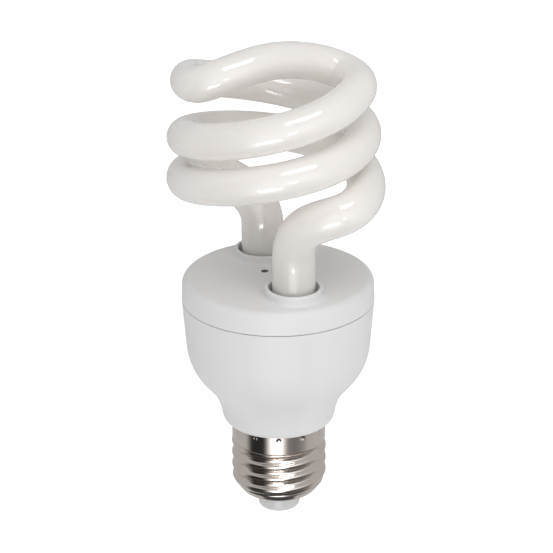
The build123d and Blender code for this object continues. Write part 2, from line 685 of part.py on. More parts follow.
def circuit_board():
    """Round ballast board on the housing's ledges, drilled for every lead."""
    r = housing_inner_radius(BOARD_Z) - BOARD_CLEARANCE
    board = post(0, 0, r, BOARD_Z, BOARD_Z + BOARD_T)
    holes = [post(x, y, PIN_R + PIN_CLEARANCE, BOARD_Z - 1, BOARD_Z + BOARD_T + 1) for x, y in pin_places()]
    holes += [post(x, y, LEAD_R + PIN_CLEARANCE, BOARD_Z - 1, BOARD_Z + BOARD_T + 1)
              for x, y in (LIVE_HOLE, NEUTRAL_HOLE)]
    holes += [block(x, y, 2 * POST_HALF, 2 * POST_HALF, BOARD_Z - 1, BOARD_Z + BOARD_T + 1)
              for x, y in post_places()]
    return board.cut(*holes)


def solder_joints():
    """Cone of solder round each lead on the board's upper face."""
    z0 = BOARD_Z + BOARD_T
    joints = []
    for x, y in pin_places():
        cone = revolved([(PIN_R, z0), (SOLDER_R, z0), (PIN_R + 0.12, z0 + SOLDER_H), (PIN_R, z0 + SOLDER_H)])
        joints.append(Pos(x, y, 0) * cone)
    for x, y in (LIVE_HOLE, NEUTRAL_HOLE):
        cone = revolved([(LEAD_R, z0), (LEAD_R + 0.7, z0), (LEAD_R + 0.12, z0 + SOLDER_H), (LEAD_R, z0 + SOLDER_H)])
        joints.append(Pos(x, y, 0) * cone)
    return joints


PIECES = {
    "spiral_tube": spiral_tube,
    "tube_cement_front": lambda: tube_cement(1),
    "tube_cement_rear": lambda: tube_cement(-1),
    "tube_cover": tube_cover,
    "lamp_housing": lamp_housing,
    "screw_shell": screw_shell,
    "cap_insulator": cap_insulator,
    "centre_contact": centre_contact,
    "contact_solder": contact_solder,
    "circuit_board": circuit_board,
    "filter_capacitor": filter_capacitor,
    "choke_core_upper": lambda: choke_half(1),
    "choke_core_lower": lambda: choke_half(-1),
    "choke_bobbin": choke_bobbin,
    "choke_winding": choke_winding,
    "feedback_core": feedback_core,
    "feedback_windings": feedback_windings,
    "drum_core": drum_core,
    "drum_winding": drum_winding,
    "transistor_high": lambda: transistor(0),
    "transistor_low": lambda: transistor(1),
    "rectifier_diodes": rectifier_diodes,
    "trigger_diode": trigger_diode,
    "bias_resistors": bias_resistors,
    "resonance_capacitor": lambda: film_capacitor(0),
    "coupling_capacitor": lambda: film_capacitor(1),
    "filament_posts": filament_posts,
    "filament_leads": filament_leads,
    "fusible_resistor": fusible_resistor,
    "live_lead": live_lead,
    "neutral_lead": neutral_lead,
    "solder_joints": solder_joints,
}


def main():
    """Write each piece to a STEP file of its own name."""
    os.makedirs("parts", exist_ok=True)
    for name, build in PIECES.items():
        piece = build()
        if isinstance(piece, list):
            piece = Compound(children=[s for p in piece for s in p.solids()])
        export_step(piece, f"parts/{name}.step")


main()
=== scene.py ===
"""Looks for a spiral compact fluorescent lamp with a screw cap.

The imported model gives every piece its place. This script winds the glass tube and rolls the
cap's shell again, as finer meshes of the same form. It gives each piece the finish of its
real material, and sets a plain white studio with softboxes and the photograph's camera.
"""

import logging
import math
from dataclasses import dataclass, field
from enum import Enum

import bpy
import numpy as np
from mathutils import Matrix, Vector


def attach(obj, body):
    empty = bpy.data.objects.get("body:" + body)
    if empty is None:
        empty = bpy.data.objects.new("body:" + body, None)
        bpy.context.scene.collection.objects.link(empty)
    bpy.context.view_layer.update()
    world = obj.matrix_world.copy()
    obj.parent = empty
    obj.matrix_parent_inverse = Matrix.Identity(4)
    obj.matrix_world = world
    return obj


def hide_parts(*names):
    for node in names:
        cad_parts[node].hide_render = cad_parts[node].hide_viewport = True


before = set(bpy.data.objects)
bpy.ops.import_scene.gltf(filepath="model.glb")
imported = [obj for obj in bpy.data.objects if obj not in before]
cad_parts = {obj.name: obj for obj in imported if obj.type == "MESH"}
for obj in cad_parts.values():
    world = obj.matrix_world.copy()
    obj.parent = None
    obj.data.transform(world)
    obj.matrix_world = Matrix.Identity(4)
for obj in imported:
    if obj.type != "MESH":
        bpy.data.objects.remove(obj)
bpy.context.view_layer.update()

LOG = logging.getLogger("lamp")
MM = 0.001
MICRON = 1e-6

# The sRGB curve: a straight toe, then a power.
SRGB_TOE_END = 0.04045
SRGB_TOE_SLOPE = 12.92
SRGB_OFFSET = 0.055
SRGB_SPAN = 1.055
SRGB_POWER = 2.4

# Sockets of the Mix node, which share their names.
MIX_SHARE = 0
COLOUR_A, COLOUR_B, COLOUR_OUT = 6, 7, 2
VALUE_A, VALUE_B, VALUE_OUT = 2, 3, 0

# Nearly all of a noise node's values lie between these two.
NOISE_LOW, NOISE_HIGH = 0.3, 0.7
# Octaves of noise: clouds of colour, the grain of a surface, and one smooth wave.
DRIFT_DETAIL = 4.0
RELIEF_DETAIL = 3.0
WAVER_DETAIL = 1.0

# Edges that turn by more degrees than this stay crisp.
SHARP_ANGLE = 40.0


class Build(Enum):
    """How a surface was made, which decides its fine relief."""

    MOULDED = "moulded"
    ROLLED = "rolled"
    WOUND = "wound"
    PRESSED = "pressed"
    CAST = "cast"
    DIPPED = "dipped"
    LAMINATED = "laminated"


# A small scale draws the relief out along that axis. Rolling and winding draw it round the
# lamp's axis, and laminating draws it along the sheet's fibres.
RELIEF_SCALE: dict[Build, tuple[float, float, float]] = {
    Build.ROLLED: (0.06, 0.06, 1.0),
    Build.WOUND: (0.03, 0.03, 1.0),
    Build.LAMINATED: (1.0, 0.35, 1.0),
}
EVEN_SCALE = (1.0, 1.0, 1.0)


def srgb(code: str) -> tuple[float, float, float, float]:
    """Turns an sRGB hex colour to a linear one.

    Args:
        code: six hex digits, with or without a leading hash.

    Returns:
        Linear red, green, blue and an alpha of 1.
    """
    digits = code.lstrip("#")
    channels = [int(digits[i:i + 2], 16) / 255.0 for i in (0, 2, 4)]
    linear = [
        c / SRGB_TOE_SLOPE if c <= SRGB_TOE_END else ((c + SRGB_OFFSET) / SRGB_SPAN) ** SRGB_POWER
        for c in channels
    ]
    return (*linear, 1.0)


def per_mm(feature: float) -> float:
    """Texture scale on object coordinates in metres for a feature of this many millimetres."""
    return 1.0 / (feature * MM)


def add_node(tree: bpy.types.NodeTree, kind: str, inputs: dict | None = None,
             settings: dict | None = None) -> bpy.types.Node:
    """Adds one node with its settings, input values and incoming links.

    Args:
        tree: the node tree that gets the node.
        kind: the node's Blender type name.
        inputs: socket name or index to a value, or to the output socket that feeds it.
        settings: node property to its value.

    Returns:
        The new node.
    """
    node = tree.nodes.new(kind)
    for name, value in (settings or {}).items():
        setattr(node, name, value)
    for socket, value in (inputs or {}).items():
        if isinstance(value, bpy.types.NodeSocket):
            tree.links.new(value, node.inputs[socket])
        else:
            node.inputs[socket].default_value = value
    return node


def straight_rays(tree: bpy.types.NodeTree, path: bpy.types.Node) -> bpy.types.NodeSocket:
    """Tells the rays that come straight from the eye, also through glass, from all others.

    Args:
        tree: the node tree.
        path: its Light Path node.

    Returns:
        A socket that is 1 for those rays and 0 for others.
    """
    return add_node(tree, "ShaderNodeMath", {
        0: path.outputs["Is Camera Ray"], 1: path.outputs["Is Transmission Ray"],
    }, {"operation": "MAXIMUM"}).outputs[0]


def blank_material(name: str) -> bpy.types.Material:
    """Makes a material whose node tree is still empty.

    Args:
        name: the material's name.

    Returns:
        The material.
    """
    material = bpy.data.materials.new(name)
    material.use_nodes = True
    material.node_tree.nodes.clear()
    return material


def linked(name: str, data: bpy.types.ID) -> bpy.types.Object:
    """Puts a new object in the scene.

    Args:
        name: the object's name.
        data: its mesh, light or camera.

    Returns:
        The object.
    """
    thing = bpy.data.objects.new(name, data)
    bpy.context.collection.objects.link(thing)
    return thing


@dataclass(frozen=True)
class Finish:
    """One real material with its surface, as a procedural shader.

    The colour drifts between two close shades over a few millimetres, as every real surface
    does, and a fine relief follows from how the surface was made.

    Attributes:
        name: the material's name.
        shade: its main colour, as sRGB hex.
        second_shade: the colour that it drifts to.
        build: how its surface was made.
        roughness: mean roughness.
        metallic: 1 for bare metal, 0 for all else.
        ior: index of refraction where it isn't metal.
        coat: weight of the clear layer over it.
        coat_roughness: roughness of that layer.
        drift_mm: width of the colour's clouds.
        relief_mm: width of the relief's grains.
        relief_um: height of the relief, in micrometres.
        roughness_swing: how far the roughness strays from its mean.
    """

    name: str
    shade: str
    second_shade: str
    build: Build
    roughness: float
    metallic: float = 0.0
    ior: float = 1.5
    coat: float = 0.0
    coat_roughness: float = 0.05
    drift_mm: float = 8.0
    relief_mm: float = 0.5
    relief_um: float = 5.0
    roughness_swing: float = 0.04

    def coordinates(self, tree: bpy.types.NodeTree) -> bpy.types.NodeSocket:
        """Object coordinates, stretched along the direction in which the surface was made.

        Args:
            tree: the material's node tree.

        Returns:
            The vector socket that the relief reads.
        """
        place = add_node(tree, "ShaderNodeTexCoord")
        return add_node(tree, "ShaderNodeMapping", {
            "Vector": place.outputs["Object"],
            "Scale": RELIEF_SCALE.get(self.build, EVEN_SCALE),
        }).outputs[0]

    def material(self) -> bpy.types.Material:
        """Builds the material once and returns it on later calls.

        Returns:
            The Blender material.
        """
        known = bpy.data.materials.get(self.name)
        if known is not None:
            return known
        material = bpy.data.materials.new(self.name)
        material.use_nodes = True
        tree = material.node_tree
        self.paint(tree, tree.nodes["Principled BSDF"])
        return material

    def paint(self, tree: bpy.types.NodeTree, shader: bpy.types.Node) -> None:
        """Sets the shader's plain values and adds colour drift, roughness swing and relief.

        Args:
            tree: the material's node tree.
            shader: its Principled shader.
        """
        place = add_node(tree, "ShaderNodeTexCoord")
        drift = add_node(tree, "ShaderNodeTexNoise", {
            "Vector": place.outputs["Object"], "Scale": per_mm(self.drift_mm),
            "Detail": DRIFT_DETAIL,
        })
        colour = add_node(tree, "ShaderNodeMix", {
            MIX_SHARE: drift.outputs["Fac"], COLOUR_A: srgb(self.shade),
            COLOUR_B: srgb(self.second_shade),
        }, {"data_type": "RGBA"})
        tree.links.new(colour.outputs[COLOUR_OUT], shader.inputs["Base Color"])
        swing = add_node(tree, "ShaderNodeMapRange", {
            "Value": drift.outputs["Fac"], "From Min": NOISE_LOW, "From Max": NOISE_HIGH,
            "To Min": self.roughness - self.roughness_swing,
            "To Max": self.roughness + self.roughness_swing,
        })
        tree.links.new(swing.outputs[0], shader.inputs["Roughness"])
        grain = add_node(tree, "ShaderNodeTexNoise", {
            "Vector": self.coordinates(tree), "Scale": per_mm(self.relief_mm),
            "Detail": RELIEF_DETAIL,
        })
        relief = add_node(tree, "ShaderNodeBump", {
            "Height": grain.outputs["Fac"], "Distance": self.relief_um * MICRON,
            "Strength": 1.0,
        })
        tree.links.new(relief.outputs[0], shader.inputs["Normal"])
        shader.inputs["Metallic"].default_value = self.metallic
        if not self.metallic:
            shader.inputs["IOR"].default_value = self.ior
        shader.inputs["Coat Weight"].default_value = self.coat
        shader.inputs["Coat Roughness"].default_value = self.coat_roughness

    def tint(self, tree: bpy.types.NodeTree, shader: bpy.types.Node,
             share: bpy.types.NodeSocket, shade: str) -> None:
        """Changes the colour to another one in a part of the surface.

        Args:
            tree: the material's node tree.
            shader: its Principled shader, whose colour is already linked.
            share: how much of the other colour shows at each point.
            shade: the other colour, as sRGB hex.
        """
        plain = shader.inputs["Base Color"].links[0].from_socket
        colour = add_node(tree, "ShaderNodeMix", {
            MIX_SHARE: share, COLOUR_A: plain, COLOUR_B: srgb(shade),
        }, {"data_type": "RGBA"})
        tree.links.new(colour.outputs[COLOUR_OUT], shader.inputs["Base Color"])


@dataclass(frozen=True)
class PhosphorGlass(Finish):
    """Soda-lime glass tube, drawn and coated inside with a warm white phosphor.

    The powder scatters light softly through the wall, and the drawn glass over it gives
    crisp reflections that waver a little along the tube. The lower ends of the legs are
    painted greyer as painted shade, where the coil above keeps light from them.

    Attributes:
        glass_ior: index of refraction of the clear glass.
        waver_mm: length of the drawn glass's waves.
        waver_um: height of those waves, in micrometres.
        scatter: how much of the light goes through the powder.
        scatter_mm: how far it goes.
        scatter_spread: that distance for red, green and blue, as shares of the whole.
        painted_leg_shade: greyer colour painted on the lower legs as shade.
        leg_shade_share: how much of that painted shade shows at the lower ends.
        leg_shade_from_mm: height below which the painted shade begins.
        leg_shade_to_mm: height from which down the painted shade is strongest.
    """

    glass_ior: float = 1.52
    waver_mm: float = 14.0
    waver_um: float = 60.0
    scatter: float = 0.7
    scatter_mm: float = 4.0
    scatter_spread: tuple[float, float, float] = (1.0, 0.95, 0.9)
    # Painted shade: the lower legs turn towards this greyer colour.
    painted_leg_shade: str = "#B2B1AC"
    leg_shade_share: float = 0.45
    leg_shade_from_mm: float = 92.0
    leg_shade_to_mm: float = 70.0

    def paint(self, tree: bpy.types.NodeTree, shader: bpy.types.Node) -> None:
        """Adds the clear glass layer, painted shade low on the legs and the powder's soft scatter.

        Args:
            tree: the material's node tree.
            shader: its Principled shader.
        """
        super().paint(tree, shader)
        place = add_node(tree, "ShaderNodeTexCoord")
        waver = add_node(tree, "ShaderNodeTexNoise", {
            "Vector": place.outputs["Object"], "Scale": per_mm(self.waver_mm),
            "Detail": WAVER_DETAIL,
        })
        glass = add_node(tree, "ShaderNodeBump", {
            "Height": waver.outputs["Fac"], "Distance": self.waver_um * MICRON,
            "Strength": 1.0,
        })
        tree.links.new(glass.outputs[0], shader.inputs["Coat Normal"])
        height = add_node(tree, "ShaderNodeSeparateXYZ", {"Vector": place.outputs["Object"]})
        # Painted shade: the legs turn greyer towards their lower ends.
        leg_shade = add_node(tree, "ShaderNodeMapRange", {
            "Value": height.outputs["Z"],
            "From Min": self.leg_shade_from_mm * MM, "From Max": self.leg_shade_to_mm * MM,
            "To Min": 0.0, "To Max": self.leg_shade_share,
        }, {"interpolation_type": "SMOOTHSTEP"})
        self.tint(tree, shader, leg_shade.outputs[0], self.painted_leg_shade)
        shader.inputs["Coat IOR"].default_value = self.glass_ior
        shader.inputs["Subsurface Weight"].default_value = self.scatter
        shader.inputs["Subsurface Radius"].default_value = self.scatter_spread
        shader.inputs["Subsurface Scale"].default_value = self.scatter_mm * MM


@dataclass(frozen=True)
class VentedPlastic(Finish):
    """Moulded cover whose small vent hole has painted shade on its wall.

    Attributes:
        vent_mm: the hole's place on the cover, level with the origin.
        vent_radius_mm: radius that takes in the hole's wall.
        vent_top_mm: height just under the cover's face, where the wall begins.
        painted_vent_shade: the wall's colour, painted shade inside the hole.
    """

    vent_mm: tuple[float, float, float] = (-3.6, 2.7, 0.0)
    vent_radius_mm: float = 1.12
    vent_top_mm: float = 70.03
    # Painted shade: the vent hole's wall is darkened to this colour.
    painted_vent_shade: str = "#8C8C8A"

    def paint(self, tree: bpy.types.NodeTree, shader: bpy.types.Node) -> None:
        """Darkens the wall of the vent hole with painted shade.

        Args:
            tree: the material's node tree.
            shader: its Principled shader.
        """
        super().paint(tree, shader)
        place = add_node(tree, "ShaderNodeTexCoord")
        level = add_node(tree, "ShaderNodeVectorMath", {
            0: place.outputs["Object"], 1: (1.0, 1.0, 0.0),
        }, {"operation": "MULTIPLY"})
        vent = tuple(value * MM for value in self.vent_mm)
        apart = add_node(tree, "ShaderNodeVectorMath", {
            0: level.outputs[0], 1: vent,
        }, {"operation": "DISTANCE"})
        near = add_node(tree, "ShaderNodeMath", {
            0: apart.outputs["Value"], 1: self.vent_radius_mm * MM,
        }, {"operation": "LESS_THAN"})
        height = add_node(tree, "ShaderNodeSeparateXYZ", {"Vector": place.outputs["Object"]})
        below = add_node(tree, "ShaderNodeMath", {
            0: height.outputs["Z"], 1: self.vent_top_mm * MM,
        }, {"operation": "LESS_THAN"})
        inside = add_node(tree, "ShaderNodeMath", {
            0: near.outputs[0], 1: below.outputs[0],
        }, {"operation": "MULTIPLY"})
        # Painted shade laid over the hole's wall.
        self.tint(tree, shader, inside.outputs[0], self.painted_vent_shade)


# White powder seen through glass: warm white, with faint clouds where the slurry dried.
TUBE = PhosphorGlass(
    "phosphor_coated_glass", "#F6F2EF", "#F1EDE9", Build.CAST, roughness=0.55, coat=1.0,
    coat_roughness=0.02, drift_mm=9.0, relief_mm=0.4, relief_um=1.0,
)
# Flame-retardant moulded polyester: a cool white with a soft, wide sheen.
PLASTIC = Finish(
    "moulded_white_pbt", "#E9E9E9", "#E5E5E5", Build.MOULDED, roughness=0.52, ior=1.45,
    drift_mm=18.0, relief_mm=0.35, relief_um=4.0,
)
# The same moulding compound on the cover, with painted shade in its vent hole.
COVER_PLASTIC = VentedPlastic(
    "moulded_white_pbt_vented", "#E9E9E9", "#E5E5E5", Build.MOULDED, roughness=0.52, ior=1.45,
    drift_mm=18.0, relief_mm=0.35, relief_um=4.0,
)
# Bright nickel on rolled brass sheet: slightly pink-grey, with fine lines round the cap.
NICKEL = Finish(
    "nickel_plated_brass", "#D6CEC8", "#CAC1BB", Build.ROLLED, roughness=0.13, metallic=1.0,
    drift_mm=5.0, relief_mm=0.5, relief_um=0.15, roughness_swing=0.02,
)
# Pressed white glass button: opaque and shiny, a little cool.
VITRITE = Finish(
    "pressed_white_vitrite", "#E6E6E5", "#DEDEDD", Build.PRESSED, roughness=0.25, ior=1.52,
    coat=0.6, drift_mm=3.0, relief_mm=0.8, relief_um=12.0,
)
# Tinned brass disc with a dull, handled face.
CONTACT = Finish(
    "tinned_brass_contact", "#C9C4B8", "#B5AE9F", Build.PRESSED, roughness=0.32, metallic=1.0,
    drift_mm=1.5, relief_mm=0.3, relief_um=8.0,
)
# Tin solder, frozen with a rippled skin.
SOLDER = Finish(
    "tin_solder", "#C6C8CA", "#A9ABAD", Build.CAST, roughness=0.28, metallic=1.0, drift_mm=0.6,
    relief_mm=0.25, relief_um=20.0,
)
# Chalky cement that holds the glass legs.
CEMENT = Finish(
    "lamp_cement", "#D9D6CF", "#C8C4BB", Build.CAST, roughness=0.85, drift_mm=1.2,
    relief_mm=0.3, relief_um=40.0,
)
# Paper laminate board, amber and slightly fibrous.
LAMINATE = Finish(
    "phenolic_paper_laminate", "#B98F55", "#A67C45", Build.LAMINATED, roughness=0.45,
    drift_mm=1.5, relief_mm=0.2, relief_um=6.0,
)
# Shrunk film over an aluminium can.
CAN_SLEEVE = Finish(
    "heat_shrunk_sleeve", "#1E2740", "#161D31", Build.MOULDED, roughness=0.28, coat=0.3,
    relief_um=3.0,
)
# Pressed and fired ceramic, near black with a grainy break.
FERRITE = Finish(
    "sintered_ferrite", "#3A3A3C", "#2B2B2D", Build.PRESSED, roughness=0.55, drift_mm=0.8,
    relief_mm=0.15, relief_um=10.0,
)
# Black moulded nylon.
BOBBIN = Finish("moulded_black_nylon", "#1B1B1C", "#151516", Build.MOULDED, roughness=0.5)
# Enamelled wire, wound layer on layer: a copper shine broken into fine rings.
COPPER = Finish(
    "enamelled_copper_wire", "#C4703A", "#9E5426", Build.WOUND, roughness=0.3, metallic=1.0,
    coat=0.5, drift_mm=0.7, relief_mm=0.25, relief_um=60.0,
)
# Black epoxy with a matt moulded grain.
EPOXY = Finish(
    "moulded_black_epoxy", "#1C1C1D", "#141415", Build.MOULDED, roughness=0.58, relief_mm=0.2,
    relief_um=7.0,
)
# Small glass diode body, painted.
DIODE_GLASS = Finish(
    "painted_diode_glass", "#5A6F92", "#4A5E80", Build.CAST, roughness=0.2, coat=0.8,
    relief_um=2.0,
)
# Baked lacquer over a ceramic rod.
LACQUER = Finish(
    "baked_resistor_lacquer", "#CDB48C", "#BEA47B", Build.DIPPED, roughness=0.35, coat=0.4,
    relief_um=6.0,
)
# Dipped resin, glossy and a little uneven.
GREEN_RESIN = Finish(
    "dipped_green_resin", "#2A5A41", "#224D37", Build.DIPPED, roughness=0.25, coat=0.5,
    relief_mm=1.5, relief_um=25.0,
)
BROWN_RESIN = Finish(
    "dipped_brown_resin", "#7A3A22", "#6B301B", Build.DIPPED, roughness=0.25, coat=0.5,
    relief_mm=1.5, relief_um=25.0,
)
# Woven glass-fibre sleeve.
GLASS_SLEEVE = Finish(
    "glass_fibre_sleeve", "#DBD9D2", "#CFCCC3", Build.WOUND, roughness=0.7, relief_mm=0.3,
    relief_um=30.0,
)
# Soft extruded insulation.
INSULATION = Finish("extruded_pvc_insulation", "#D6D6D3", "#CBCBC8", Build.MOULDED, roughness=0.45)
# Tinned copper wire.
TINNED = Finish(
    "tinned_copper_wire", "#BDBBB8", "#A9A7A4", Build.ROLLED, roughness=0.3, metallic=1.0,
    relief_mm=0.1, relief_um=2.0,
)

NODE_FINISHES: dict[str, Finish] = {
    "tube_cement_front": CEMENT,
    "tube_cement_rear": CEMENT,
    "tube_cover": COVER_PLASTIC,
    "lamp_housing": PLASTIC,
    "cap_insulator": VITRITE,
    "centre_contact": CONTACT,
    "contact_solder": SOLDER,
    "circuit_board": LAMINATE,
    "filter_capacitor": CAN_SLEEVE,
    "choke_core_upper": FERRITE,
    "choke_core_lower": FERRITE,
    "choke_bobbin": BOBBIN,
    "choke_winding": COPPER,
    "feedback_core": FERRITE,
    "feedback_windings": COPPER,
    "drum_core": FERRITE,
    "drum_winding": COPPER,
    "transistor_high": EPOXY,
    "transistor_low": EPOXY,
    "rectifier_diodes": EPOXY,
    "trigger_diode": DIODE_GLASS,
    "bias_resistors": LACQUER,
    "resonance_capacitor": BROWN_RESIN,
    "coupling_capacitor": GREEN_RESIN,
    "filament_posts": TINNED,
    "filament_leads": TINNED,
    "fusible_resistor": GLASS_SLEEVE,
    "live_lead": INSULATION,
    "neutral_lead": INSULATION,
    "solder_joints": SOLDER,
}


def clamped_spline(points: np.ndarray, start: np.ndarray, end: np.ndarray,
                   steps: int) -> np.ndarray:
    """Smooth cubic curve through points, with given unit directions at its two ends.

    Args:
        points: the points to pass, one a row.
        start: unit direction at the first point.
        end: unit direction at the last point.
        steps: how many samples to return.

    Returns:
        The samples, evenly spaced in the chord length, one a row.
    """
    knots = np.concatenate([[0.0], np.cumsum(np.linalg.norm(np.diff(points, axis=0), axis=1))])
    gaps = np.diff(knots)
    count = len(points)
    matrix = np.zeros((count, count))
    right = np.zeros((count, 3))
    matrix[0, 0] = matrix[-1, -1] = 1.0
    right[0], right[-1] = start, end
    slopes = np.diff(points, axis=0) / gaps[:, None]
    for i in range(1, count - 1):
        matrix[i, i - 1] = gaps[i]
        matrix[i, i] = 2.0 * (gaps[i - 1] + gaps[i])
        matrix[i, i + 1] = gaps[i - 1]
        right[i] = 3.0 * (gaps[i] * slopes[i - 1] + gaps[i - 1] * slopes[i])
    tangents = np.linalg.solve(matrix, right)
    at = np.linspace(0.0, knots[-1], steps)
    span = np.clip(np.searchsorted(knots, at, side="right") - 1, 0, count - 2)
    width = gaps[span][:, None]
    t = (at - knots[span])[:, None] / width
    return ((2 * t ** 3 - 3 * t ** 2 + 1) * points[span]
            + (t ** 3 - 2 * t ** 2 + t) * width * tangents[span]
            + (3 * t ** 2 - 2 * t ** 3) * points[span + 1]
            + (t ** 3 - t ** 2) * width * tangents[span + 1])


def round_angles(sides: int) -> np.ndarray:
    """Even angles once round, in radians, for a ring with this many sides."""
    return np.arange(sides) * 2.0 * math.pi / sides


def ring_mesh(name: str, rings: np.ndarray, is_loop: bool) -> bpy.types.Object:
    """Smooth-shaded surface through rings of points, with crisp edges where it turns hard.

    Args:
        name: the new object's name.
        rings: points in metres, one ring a row.
        is_loop: joins the last ring to the first; otherwise both ends get a flat face.

    Returns:
        The mesh object, linked to the scene.
    """
    rows, sides = rings.shape[:2]
    index = np.arange(rows * sides).reshape(rows, sides)
    lower, upper = (index, np.roll(index, -1, axis=0)) if is_loop else (index[:-1], index[1:])
    quads = np.stack(
        [lower, np.roll(lower, -1, axis=1), np.roll(upper, -1, axis=1), upper], axis=-1)
    ends = [] if is_loop else [index[0][::-1].tolist(), index[-1].tolist()]
    data = bpy.data.meshes.new(name)
    data.from_pydata(rings.reshape(-1, 3).tolist(), [], quads.reshape(-1, 4).tolist() + ends)
    data.shade_smooth()
    data.set_sharp_from_angle(angle=math.radians(SHARP_ANGLE))
    return linked(name, data)


def swept_tube(name: str, path: np.ndarray, radii: np.ndarray, sides: int) -> bpy.types.Object:
    """Closed round tube along a path.

    Args:
        name: the new object's name.
        path: centre points in metres, one a row.
        radii: tube radius at each point, in metres.
        sides: vertices round the tube.

    Returns:
        The mesh object, linked to the scene.
    """
    along = np.gradient(path, axis=0)
    along /= np.linalg.norm(along, axis=1)[:, None]
    side = np.cross(along[0], (1.0, 0.0, 0.0))
    angles = round_angles(sides)[:, None]
    rings = []
    for centre, direction, radius in zip(path, along, radii):
        side = side - direction * np.dot(side, direction)
        side /= np.linalg.norm(side)
        other = np.cross(direction, side)
        rings.append(centre + radius * (np.cos(angles) * side + np.sin(angles) * other))
    return ring_mesh(name, np.array(rings), False)


@dataclass
class SpiralTube:
    """The sealed glass tube: two legs, two elbows, two arms of turns and the bridge on top.

    The arm that starts at the front leg is described, and the other is that arm turned by
    half a turn about the lamp's axis. All sizes are in millimetres and degrees.

    Attributes:
        leg_x: the front leg's place sideways.
        leg_y: its place from front to back.
        leg_radius: radius of both legs.
        leg_end_z: height of their sealed ends.
        leg_top_z: height at which the legs turn into the elbows.
        leg_end_round: rounding of the sealed ends.
        tube_radius: radius of the turns and the bridge.
        coil_radius: radius of the turns' centre line.
        coil_pitch: rise of an arm in one turn.
        coil_start_z: height of an arm at angle 0.
        start_angle: angle at which an arm leaves its elbow.
        end_angle: angle at which it goes over to the bridge.
        stretch: how far the last part of a turn opens upwards.
        stretch_from: angle from which it opens.
        stretch_unit: angle in which it opens by the stretch.
        probe: angle to each side in which a direction is taken.
        stations: spans between the points that an arm's curve passes.
        elbow_low: lower bend of the elbow.
        elbow_high: upper bend of the elbow.
        bridge_bend: shoulder of the bridge.
        bridge_top_z: height of the bridge over the lamp's axis.
        lean_pivot_z: height about which the coil leans.
        lean_back: degrees that it leans to the back.
        lean_left: degrees that it leans to the left.
        shift: how far it sits off the axis.
        sides: vertices round the tube.
        corner_steps: rings in the rounding of a sealed end.
        leg_steps: rings along the straight of a leg.
        elbow_steps: rings along an elbow.
        turn_steps: rings along an arm's turn.
        bridge_steps: rings along the bridge.
    """

    leg_x: float = 4.2
    leg_y: float = -13.85
    leg_radius: float = 5.8
    leg_end_z: float = 60.2
    leg_top_z: float = 80.0
    leg_end_round: float = 2.6
    tube_radius: float = 4.94
    coil_radius: float = 23.5
    coil_pitch: float = 24.0
    coil_start_z: float = 98.2
    start_angle: float = 22.0
    end_angle: float = 334.0
    stretch: float = 1.65
    stretch_from: float = 200.0
    stretch_unit: float = 100.0
    probe: float = 0.5
    stations: int = 20
    elbow_low: tuple[float, float, float] = (7.9, -16.85, 89.4)
    elbow_high: tuple[float, float, float] = (17.3, -19.7, 93.9)
    bridge_bend: tuple[float, float, float] = (19.5, 4.2, 125.5)
    bridge_top_z: float = 130.1
    lean_pivot_z: float = 112.0
    lean_back: float = 3.4
    lean_left: float = 0.9
    shift: tuple[float, float, float] = (-0.9, 0.9, 0.0)
    sides: int = 72
    corner_steps: int = 9
    leg_steps: int = 14
    elbow_steps: int = 70
    turn_steps: int = 260
    bridge_steps: int = 120

    def coil_point(self, angle: float) -> np.ndarray:
        """Centre of the front arm's turn at an angle, before the lean.

        Args:
            angle: degrees round the lamp's axis.

        Returns:
            The point in millimetres.
        """
        turn = math.radians(angle)
        opened = self.stretch * max(0.0, (angle - self.stretch_from) / self.stretch_unit) ** 2
        rise = self.coil_start_z + self.coil_pitch * angle / 360.0 + opened
        return np.array(
            [self.coil_radius * math.cos(turn), self.coil_radius * math.sin(turn), rise])

    def coil_direction(self, angle: float) -> np.ndarray:
        """Direction of the front arm's turn at an angle, before the lean.

        Args:
            angle: degrees round the lamp's axis.

        Returns:
            The unit direction.
        """
        step = self.coil_point(angle + self.probe) - self.coil_point(angle - self.probe)
        return step / np.linalg.norm(step)

    def lean(self, vectors: np.ndarray, is_direction: bool = False) -> np.ndarray:
        """Tilts points or directions as the wound coil sits on its legs.

        Args:
            vectors: points or directions, one a row.
            is_direction: leaves out the pivot and the shift.

        Returns:
            The tilted rows.
        """
        back, left = math.radians(-self.lean_back), math.radians(-self.lean_left)
        about_x = np.array([
            [1, 0, 0],
            [0, math.cos(back), -math.sin(back)],
            [0, math.sin(back), math.cos(back)],
        ])
        about_y = np.array([
            [math.cos(left), 0, math.sin(left)],
            [0, 1, 0],
            [-math.sin(left), 0, math.cos(left)],
        ])
        pivot = np.zeros(3) if is_direction else np.array([0.0, 0.0, self.lean_pivot_z])
        moved = np.zeros(3) if is_direction else pivot + np.array(self.shift)
        return (np.asarray(vectors) - pivot) @ about_x.T @ about_y.T + moved

    def arm(self, sign: float) -> np.ndarray:
        """Centre line of one leg, elbow and turn, from the leg's end to the bridge.

        Args:
            sign: 1 for the front arm, -1 for the arm half a turn round.

        Returns:
            Points in millimetres, one a row.
        """
        half_turn = np.array([sign, sign, 1.0])
        angles = np.linspace(self.start_angle, self.end_angle, self.stations + 1)
        turn = self.lean(np.array([self.coil_point(a) for a in angles]) * half_turn)
        turn_start = self.lean(self.coil_direction(self.start_angle) * half_turn, True)
        turn_end = self.lean(self.coil_direction(self.end_angle) * half_turn, True)
        turn = clamped_spline(turn, turn_start, turn_end, self.turn_steps)
        leg_top = np.array([sign * self.leg_x, sign * self.leg_y, self.leg_top_z])
        bends = self.lean(np.array([self.elbow_low, self.elbow_high]) * half_turn)
        elbow = clamped_spline(np.vstack([leg_top, bends, turn[0]]), np.array([0.0, 0.0, 1.0]),
                               turn_start, self.elbow_steps)
        heights = self.leg_heights()
        leg = np.column_stack(
            [np.full(len(heights), leg_top[0]), np.full(len(heights), leg_top[1]), heights])
        return np.vstack([leg, elbow[:-1], turn])

